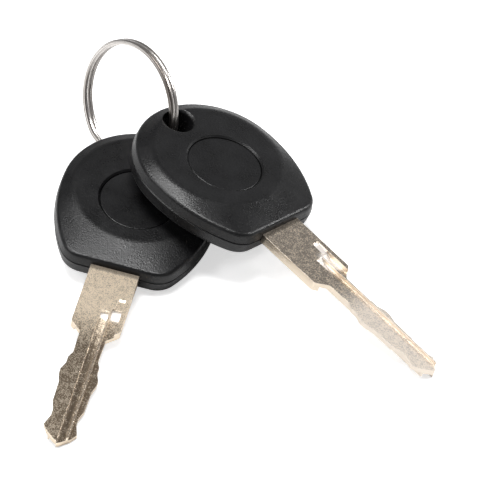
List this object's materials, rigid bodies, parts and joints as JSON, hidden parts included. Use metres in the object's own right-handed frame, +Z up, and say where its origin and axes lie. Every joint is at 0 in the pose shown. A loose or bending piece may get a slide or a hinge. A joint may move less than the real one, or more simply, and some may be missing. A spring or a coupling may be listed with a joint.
{
  "type": "pair of car keys on a split ring",
  "caption": "Linked car keys with black moulded heads, blank round badges and milled metal blades, joined by a thin split ring and lying one across the other.",
  "frame": {"origin": "middle of the whole set's footprint, at table level, under the crossed heads", "axes": "+Z up from the table; +Y away from the viewer of the picture; +X to that viewer's right"},
  "size_m": [0.0736, 0.0928, 0.0259],
  "materials": {
    "head_plastic": "fine satin grain",
    "badge_plastic": "satin",
    "blade_metal": "milled, nickel plated",
    "ring_wire": "bright",
    "transponder_glass": "clear"
  },
  "bodies": {
    "lower_key": {"lower_top_shell": "head_plastic", "lower_bottom_shell": "head_plastic", "lower_badge": "badge_plastic", "lower_transponder": "transponder_glass", "lower_blade": "blade_metal"},
    "ring": {"split_ring": "ring_wire"},
    "upper_key": {"upper_top_shell": "head_plastic", "upper_bottom_shell": "head_plastic", "upper_badge": "badge_plastic", "upper_transponder": "transponder_glass", "upper_blade": "blade_metal"}
  },
  "joints": [
    {"name": "ring_slip", "type": "hinge", "parent": "lower_key", "child": "ring", "pos_m": [-0.02216, 0.03531, 0.01305], "axis": [-0.7202, -0.6049, 0.3398], "range_deg": [0, 120]},
    {"name": "key_fan", "type": "hinge", "parent": "ring", "child": "upper_key", "pos_m": [-0.01365, 0.02558, 0.01377], "axis": [0.267, 0.0071, 0.9637], "range_deg": [-60, 0]}
  ]
}
